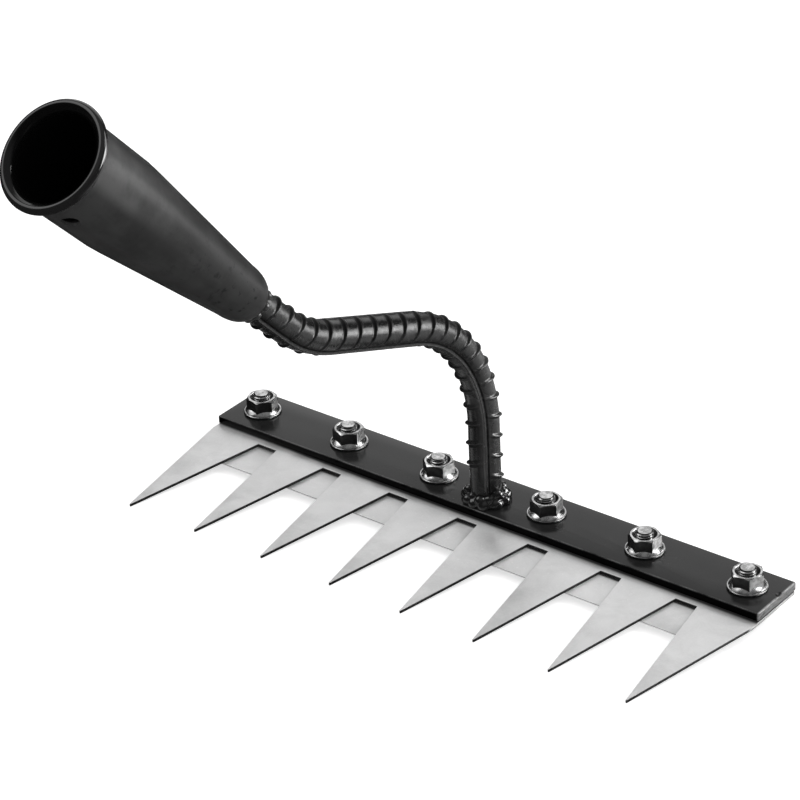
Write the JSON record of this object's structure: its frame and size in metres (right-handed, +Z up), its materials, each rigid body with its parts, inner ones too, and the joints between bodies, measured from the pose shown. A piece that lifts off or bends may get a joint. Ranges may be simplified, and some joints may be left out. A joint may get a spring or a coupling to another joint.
{
  "type": "weeding rake head",
  "caption": "Weeding rake head: a toothed blade and a straight blade bolted under a flat bar, with a ribbed neck welded to it and a tapered socket for a handle.",
  "frame": {"origin": "on the floor, under the middle of the part's bounding box; the tool lies as it rests on a floor, on its tooth tips and bolt heads", "axes": "+X along the bar, with the handle coming toward the viewer from -Y; -Y is the side of the teeth and of the handle; +Z up"},
  "size_m": [0.3, 0.3016, 0.275],
  "materials": {
    "black_paint": "satin to gloss black paint",
    "blade_steel": "pale ground steel, faintly mottled",
    "zinc_plate": "bright zinc plate"
  },
  "bodies": {
    "root": {"mounting_bar": "black_paint", "toothed_blade": "blade_steel", "straight_blade": "blade_steel", "bolt_1": "zinc_plate", "bolt_2": "zinc_plate", "bolt_3": "zinc_plate", "bolt_4": "zinc_plate", "bolt_5": "zinc_plate", "bolt_6": "zinc_plate", "flange_nut_1": "zinc_plate", "flange_nut_2": "zinc_plate", "flange_nut_3": "zinc_plate", "flange_nut_4": "zinc_plate", "flange_nut_5": "zinc_plate", "flange_nut_6": "zinc_plate", "neck": "black_paint", "neck_weld": "black_paint", "handle_socket": "black_paint", "socket_weld": "black_paint"}
  },
  "joints": []
}
